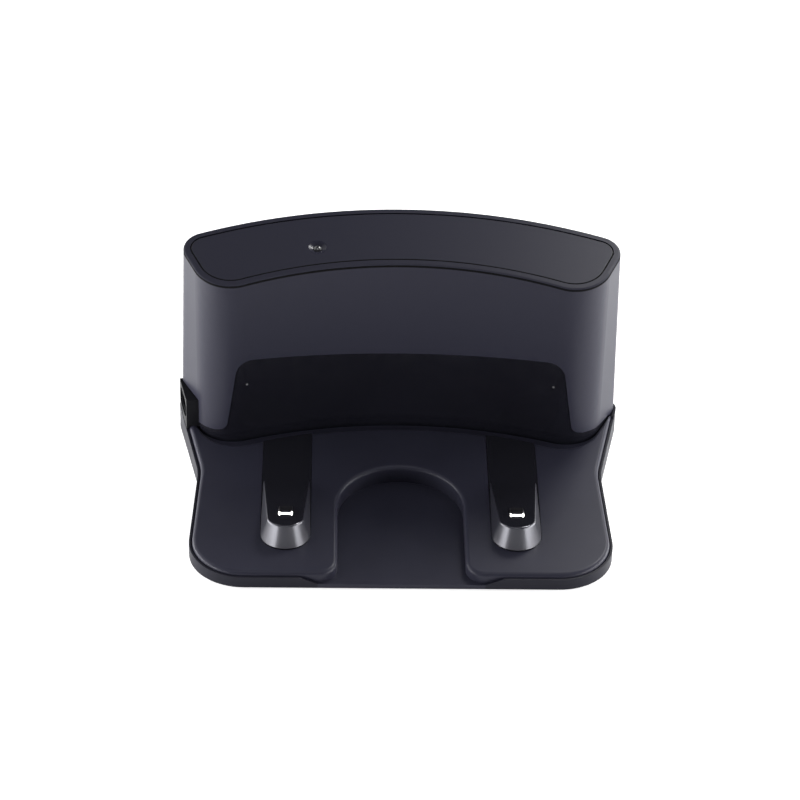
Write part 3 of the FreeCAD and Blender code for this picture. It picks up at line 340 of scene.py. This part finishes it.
def coated_board():
    """Green solder mask over copper tracks, which run straight and turn square."""
    mask = (0.010, 0.075, 0.028)
    material = finish("coated_board", mask, 0.35)
    place = add_node(material, "ShaderNodeTexCoord")
    tracks = add_node(material, "ShaderNodeTexBrick")
    tracks.inputs["Scale"].default_value = 1.0 / (6 * MM)
    tracks.inputs["Color1"].default_value = (*mask, 1.0)
    tracks.inputs["Color2"].default_value = (*shade(mask, 1.15), 1.0)
    tracks.inputs["Mortar"].default_value = (0.035, 0.16, 0.05, 1.0)
    tracks.inputs["Mortar Size"].default_value = 0.03
    wire(material, place.outputs["Object"], tracks.inputs["Vector"])
    wire(material, tracks.outputs["Color"], shader_of(material).inputs["Base Color"])
    grain(material, tracks.outputs["Fac"], 0.03 * MM)
    return material


def moulded_part(name, colour, roughness):
    material = finish(name, colour, roughness)
    spots = speckle(material, 1.2 * MM, 4.0)
    tint(material, spots, shade(colour, 0.85), shade(colour, 1.15))
    grain(material, speckle(material, 0.3 * MM, 1.0), 0.01 * MM)
    return material


def clear_resin(name, colour, roughness, passing, gloss=0.5):
    material = finish(
        name, colour, roughness, Transmission_Weight=passing, IOR=1.49, Specular_IOR_Level=gloss
    )
    tint(material, speckle(material, 2 * MM, 2.0), shade(colour, 0.9), colour)
    return material


def make_finishes():
    return {
        "shell_plastic": moulded_satin("shell_satin", SHELL_COLOUR, SHELL_ROUGHNESS, SHELL_GLOSS),
        "tray_plastic": moulded_satin("tray_satin", TRAY_COLOUR, 0.45, 0.15),
        "gloss_black": polished_black("window_gloss", GLOSS_COLOUR, 0.20),
        "contact_metal": nickel_plate(),
        "spring_strip": bright_metal("spring_bronze", (0.62, 0.40, 0.22), 0.3),
        "pin_brass": bright_metal("pin_brass", (0.72, 0.55, 0.26), 0.22),
        "foot_rubber": soft_rubber(),
        "screw_steel": bright_metal("screw_steel", (0.42, 0.42, 0.43), 0.32),
        "circuit_board": coated_board(),
        "component_plastic": moulded_part("component_black", (0.02, 0.02, 0.021), 0.5),
        "capacitor_can": moulded_part("capacitor_sleeve", (0.012, 0.02, 0.06), 0.3),
        "emitter_resin": clear_resin("emitter_resin", (0.05, 0.05, 0.10), 0.08, 0.4),
        "light_pipe": clear_resin("light_pipe", (0.02, 0.02, 0.024), 0.06, 0.0, 1.0),
        "wire_jacket": moulded_part("wire_jacket", (0.30, 0.02, 0.02), 0.45),
    }


def slot_of_node():
    """The finish that the record gives each node."""
    return {row["node"]: row["material_slot"] for row in frame["record"]["subparts"]}


# Pieces made again from the solids

SCREW_HEAD = 2.0 * MM
SCREW_SHANK_R = 1.5 * MM
SCREW_POINT = 1.5 * MM
CROSS_LENGTH = 3.4 * MM
CROSS_WIDTH = 0.8 * MM
CROSS_DEPTH = 1.1 * MM
FOOT_SOLE_R = 3.6 * MM
FOOT_SOLE_DEPTH = 0.15 * MM
FOOT_EDGE = 0.3 * MM
CONTACT_X = 57.75 * MM
CONTACT_SIDE = 3.5 * MM
CONTACT_FRONT = (-49.35 * MM, 19.35 * MM)
CONTACT_CORNER = (-47.1 * MM, 19.90 * MM)
FRONT_TILT = math.radians(52)
CORNER_TILT = math.radians(35)
CORNER_TURN = math.radians(60)
PIP_PLACE = (78.74 * MM, 25.70 * MM, 46.6 * MM)
PIP_R = 0.62 * MM
INLET_EDGE_R = 0.45 * MM


def merged(node):
    """The node's loose triangles, joined."""
    mesh = bmesh.new()
    mesh.from_mesh(NODES[node].data)
    bmesh.ops.remove_doubles(mesh, verts=mesh.verts, dist=WELD)
    return mesh


def islands(node):
    """Foot, radius and height of each upright round solid in a node."""
    mesh = merged(node)
    left = set(mesh.verts)
    found = []
    while left:
        front = [left.pop()]
        island = list(front)
        while front:
            vertex = front.pop()
            near = {edge.other_vert(vertex) for edge in vertex.link_edges} & left
            left -= near
            island.extend(near)
            front.extend(near)
        lows = [min(vertex.co[axis] for vertex in island) for axis in range(3)]
        highs = [max(vertex.co[axis] for vertex in island) for axis in range(3)]
        foot = Vector(((lows[0] + highs[0]) / 2, (lows[1] + highs[1]) / 2, lows[2]))
        found.append((foot, (highs[0] - lows[0]) / 2, highs[2] - lows[2]))
    mesh.free()
    return found


def turn_solid(mesh, profile, foot, steps=40):
    """Adds a solid of revolution, from radii and heights that start and end on its axis."""
    points = [mesh.verts.new((radius, 0.0, height)) for radius, height in profile]
    line = [mesh.edges.new(pair) for pair in zip(points, points[1:])]
    bmesh.ops.spin(
        mesh, geom=points + line, cent=(0, 0, 0), axis=(0, 0, 1),
        angle=2 * math.pi, steps=steps, use_merge=True,
    )
    solid = [vertex for vertex in mesh.verts if not vertex.tag]
    bmesh.ops.remove_doubles(mesh, verts=solid, dist=WELD)
    solid = [vertex for vertex in mesh.verts if not vertex.tag]
    bmesh.ops.translate(mesh, verts=solid, vec=foot)
    for vertex in solid:
        vertex.tag = True


def piece_from(mesh, name, material, sharp=SHARP_ANGLE):
    """A finished mesh as an object, smooth apart from its sharp edges."""
    for face in mesh.faces:
        face.smooth = True
    for edge in mesh.edges:
        edge.smooth = edge.calc_face_angle(math.pi) < sharp
    data = bpy.data.meshes.new(name)
    mesh.to_mesh(data)
    mesh.free()
    data.materials.append(material)
    piece = bpy.data.objects.new(name, data)
    bpy.context.scene.collection.objects.link(piece)
    return piece


def stand_for(piece, node, body="dock"):
    """Puts a piece in a node's place on its body."""
    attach(piece, body)
    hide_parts(node)


def cut_crosses(piece, places):
    """Sinks a cross recess into each screw's head, which faces down."""
    mesh = bmesh.new()
    for foot in places:
        for length, width in ((CROSS_LENGTH, CROSS_WIDTH), (CROSS_WIDTH, CROSS_LENGTH)):
            size = Matrix.Diagonal((length, width, 2 * CROSS_DEPTH, 1.0))
            bmesh.ops.create_cube(mesh, size=1.0, matrix=Matrix.Translation(foot) @ size)
    cutter = piece_from(mesh, "cross_cutter", piece.data.materials[0])
    recess = piece.modifiers.new("cross_recess", "BOOLEAN")
    recess.object = cutter
    recess.operation = "DIFFERENCE"
    recess.use_self = True
    shape = piece.evaluated_get(bpy.context.evaluated_depsgraph_get())
    piece.data = bpy.data.meshes.new_from_object(shape)
    piece.modifiers.clear()
    bpy.data.objects.remove(cutter)


def make_screws(node):
    """Pan-head screws with a cross recess, driven up from below."""
    mesh = bmesh.new()
    places = islands(node)
    for foot, head_r, length in places:
        turn_solid(mesh, [
            (0.0, 0.0), (head_r * 0.6, 0.0), (head_r * 0.86, SCREW_HEAD * 0.14),
            (head_r * 0.97, SCREW_HEAD * 0.4),
            (head_r, SCREW_HEAD * 0.7), (head_r, SCREW_HEAD), (SCREW_SHANK_R, SCREW_HEAD),
            (SCREW_SHANK_R, length - SCREW_POINT), (SCREW_SHANK_R * 0.3, length), (0.0, length),
        ], foot)
    bmesh.ops.recalc_face_normals(mesh, faces=mesh.faces)
    piece = piece_from(mesh, node + "_driven", FINISHES[SLOTS[node]])
    cut_crosses(piece, [foot for foot, head_r, length in places])
    stand_for(piece, node)


def make_feet():
    """Round rubber feet with a soft edge and a shallow sole."""
    mesh = bmesh.new()
    for foot, radius, height in islands("rubber_feet"):
        turn_solid(mesh, [
            (0.0, FOOT_SOLE_DEPTH), (FOOT_SOLE_R, FOOT_SOLE_DEPTH), (FOOT_SOLE_R + FOOT_EDGE, 0.0),
            (radius - FOOT_EDGE, 0.0), (radius - FOOT_EDGE * 0.3, FOOT_EDGE * 0.3), (radius, FOOT_EDGE),
            (radius, height), (0.0, height),
        ], foot)
    bmesh.ops.recalc_face_normals(mesh, faces=mesh.faces)
    stand_for(piece_from(mesh, "soft_feet", FINISHES["foot_rubber"]), "rubber_feet")


def make_leaf(side):
    """A merged copy of the leaf spring, which folds down on the real dock as its contact is pressed."""
    node = "contact_leaf_" + side
    piece = piece_from(merged(node), "leaf_" + side, FINISHES[SLOTS[node]])
    stand_for(piece, node)
    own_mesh(piece)


def shave(mesh, point, tilt, turn=0.0):
    """Planes off what lies in front of a sloped plane, which tilts up and turns from the front."""
    normal = Vector((math.sin(turn) * math.cos(tilt), -math.cos(turn) * math.cos(tilt), math.sin(tilt)))
    whole = mesh.verts[:] + mesh.edges[:] + mesh.faces[:]
    cut = bmesh.ops.bisect_plane(mesh, geom=whole, plane_co=point, plane_no=normal, clear_outer=True)
    rim = [item for item in cut["geom_cut"] if isinstance(item, bmesh.types.BMEdge)]
    bmesh.ops.edgeloop_fill(mesh, edges=rim)


def make_contact(side, hand):
    """A contact with its bright front edge and front corners planed."""
    node = "contact_" + side
    mesh = merged(node)
    bmesh.ops.dissolve_limit(mesh, angle_limit=FLAT_ANGLE, verts=mesh.verts, edges=mesh.edges)
    middle = hand * CONTACT_X
    shave(mesh, (middle, *CONTACT_FRONT), FRONT_TILT)
    for turned in (-1, 1):
        shave(mesh, (middle + turned * CONTACT_SIDE, *CONTACT_CORNER), CORNER_TILT, turned * CORNER_TURN)
    bmesh.ops.recalc_face_normals(mesh, faces=mesh.faces)
    piece = piece_from(mesh, "planed_" + node, FINISHES["contact_metal"], FACET_ANGLE)
    stand_for(piece, node, node)


def make_pips():
    """Small lenses set in the window, one in front of each outer emitter, in a pale tone that is a
    painted glint.
    """
    mesh = bmesh.new()
    for hand in (-1, 1):
        place = Matrix.Translation((hand * PIP_PLACE[0], *PIP_PLACE[1:]))
        bmesh.ops.create_uvsphere(mesh, u_segments=20, v_segments=12, radius=PIP_R, matrix=place)
    # The pale lens tone stands in for a glint: painted glint.
    piece = piece_from(mesh, "lens_pips", clear_resin("lens_glint_resin", PIP_GLINT_COLOUR, 0.15, 0.0))
    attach(piece, "dock")


def make_inlet():
    """The inlet block with its moulded edges eased."""
    mesh = merged("power_inlet")
    bmesh.ops.dissolve_limit(mesh, angle_limit=FLAT_ANGLE, verts=mesh.verts, edges=mesh.edges)
    piece = piece_from(mesh, "inlet_block", INLET_FINISH)
    ease = piece.modifiers.new("eased_edges", "BEVEL")
    ease.width = INLET_EDGE_R
    ease.segments = 3
    ease.limit_method = "ANGLE"
    ease.angle_limit = SHARP_ANGLE
    ease.harden_normals = True
    stand_for(piece, "power_inlet")


# Camera, light and floor

EYE_LEVEL_LIGHT = (1.0, 1.0, 1.0, 1.0)
OVERHEAD_LIGHT = (0.14, 0.14, 0.15, 1.0)
OVERHEAD_START = 0.15
FLOOR_LIFT = 0.55
FLOOR_R = 12.0


def camera_axes():
    """Directions of the camera's right, up and back."""
    back = Vector((
        math.sin(CAMERA_SWING) * math.cos(CAMERA_ELEVATION),
        -math.cos(CAMERA_SWING) * math.cos(CAMERA_ELEVATION),
        math.sin(CAMERA_ELEVATION),
    ))
    level = Vector((math.cos(CAMERA_SWING), math.sin(CAMERA_SWING), 0.0))
    right = Matrix.Rotation(CAMERA_ROLL, 3, back) @ level
    return right, back.cross(right), back


def set_camera():
    right, up, back = camera_axes()
    lip = Vector((0.0, CAD_BOX[0][1], 0.0))
    aside = (LIP_PIXEL[0] - IMAGE_WIDTH / 2) / FOCAL_PIXELS * CAMERA_REACH
    above = (IMAGE_WIDTH / 2 - LIP_PIXEL[1]) / FOCAL_PIXELS * CAMERA_REACH
    place = lip + back * CAMERA_REACH - right * aside - up * above
    data = bpy.data.cameras.new("photo_camera")
    data.sensor_width = SENSOR_WIDTH
    data.lens = FOCAL_PIXELS / IMAGE_WIDTH * SENSOR_WIDTH
    camera = bpy.data.objects.new("photo_camera", data)
    turn = Matrix((right, up, back)).transposed().to_4x4()
    camera.matrix_world = Matrix.Translation(place) @ turn
    bpy.context.scene.collection.objects.link(camera)
    bpy.context.scene.camera = camera


def softbox(name, place, aim, width, height, watts):
    data = bpy.data.lights.new(name, "AREA")
    data.shape = "RECTANGLE"
    data.size = width
    data.size_y = height
    data.energy = watts
    lamp = bpy.data.objects.new(name, data)
    lamp.location = place
    lamp.rotation_euler = (Vector(aim) - Vector(place)).to_track_quat("-Z", "Y").to_euler()
    lamp.visible_camera = False
    bpy.context.scene.collection.objects.link(lamp)


def set_world():
    """A studio room that is white at eye level and darker overhead."""
    world = bpy.data.worlds.new("studio")
    world.use_nodes = True
    bpy.context.scene.world = world
    nodes = world.node_tree.nodes
    links = world.node_tree.links
    place = nodes.new("ShaderNodeTexCoord")
    split = nodes.new("ShaderNodeSeparateXYZ")
    ramp = nodes.new("ShaderNodeValToRGB")
    ramp.color_ramp.elements[0].position = 0.0
    ramp.color_ramp.elements[0].color = EYE_LEVEL_LIGHT
    ramp.color_ramp.elements[1].position = OVERHEAD_START
    ramp.color_ramp.elements[1].color = OVERHEAD_LIGHT
    links.new(place.outputs["Generated"], split.inputs["Vector"])
    links.new(split.outputs["Z"], ramp.inputs["Fac"])
    links.new(ramp.outputs["Color"], nodes["Background"].inputs["Color"])


def floor_finish():
    """Matt white paper, lifted to white where it is seen, with the object's shadow kept."""
    material = finish("white_paper", (0.82, 0.82, 0.82), 0.9)
    path = add_node(material, "ShaderNodeLightPath")
    seen = path.outputs["Is Camera Ray"]
    for other in ("Is Glossy Ray", "Is Transmission Ray"):
        either = add_node(material, "ShaderNodeMath")
        either.operation = "MAXIMUM"
        wire(material, seen, either.inputs[0])
        wire(material, path.outputs[other], either.inputs[1])
        seen = either.outputs["Value"]
    lift = add_node(material, "ShaderNodeMath")
    lift.operation = "MULTIPLY"
    lift.inputs[1].default_value = FLOOR_LIFT
    wire(material, seen, lift.inputs[0])
    shader = shader_of(material)
    shader.inputs["Emission Color"].default_value = (1.0, 1.0, 1.0, 1.0)
    wire(material, lift.outputs["Value"], shader.inputs["Emission Strength"])
    return material


def set_floor():
    mesh = bmesh.new()
    bmesh.ops.create_circle(mesh, cap_ends=True, segments=96, radius=FLOOR_R)
    data = bpy.data.meshes.new("floor")
    mesh.to_mesh(data)
    mesh.free()
    floor = bpy.data.objects.new("floor", data)
    floor.data.materials.append(floor_finish())
    bpy.context.scene.collection.objects.link(floor)


# Build

bpy.context.scene.view_settings.view_transform = "Standard"
SLOTS = slot_of_node()
FINISHES = make_finishes()
POD_FINISH = polished_top()
INLET_FINISH = moulded_satin("inlet_satin", INLET_COLOUR, 0.45, 0.08)
for node, slot in SLOTS.items():
    NODES[node].data.materials.clear()
    NODES[node].data.materials.append(FINISHES[slot])
NODES["tower_shell"].data.materials[0] = tower_satin()
NODES["top_lid"].data.materials[0] = lid_satin()
for side, hand in SIDES:
    NODES["contact_pod_" + side].data.materials[0] = POD_FINISH
    make_leaf(side)
    make_contact(side, hand)
make_pips()
make_screws("base_screws")
make_screws("tower_screws")
make_feet()
make_inlet()

set_camera()
set_world()
softbox("right_rim", (0.46, 0.26, 0.36), (0.02, 0.0, 0.06), 0.75, 0.75, 2.6)
softbox("left_rim", (-0.50, 0.24, 0.34), (-0.02, 0.0, 0.06), 0.75, 0.75, 2.1)
softbox("right_wall", (0.42, -0.10, 0.06), (0.0, -0.10, 0.06), 0.70, 0.12, 3.1)
softbox("left_wall", (-0.42, -0.10, 0.06), (0.0, -0.10, 0.06), 0.70, 0.12, 3.4)
softbox("front_strip", (0.0, -0.38, 0.92), (0.0, 0.0, 0.03), 0.8, 0.10, 1.9)
softbox("lid_glow", (0.30, 0.38, 0.55), (0.09, 0.06, 0.11), 0.16, 0.16, 2.4)
set_floor()
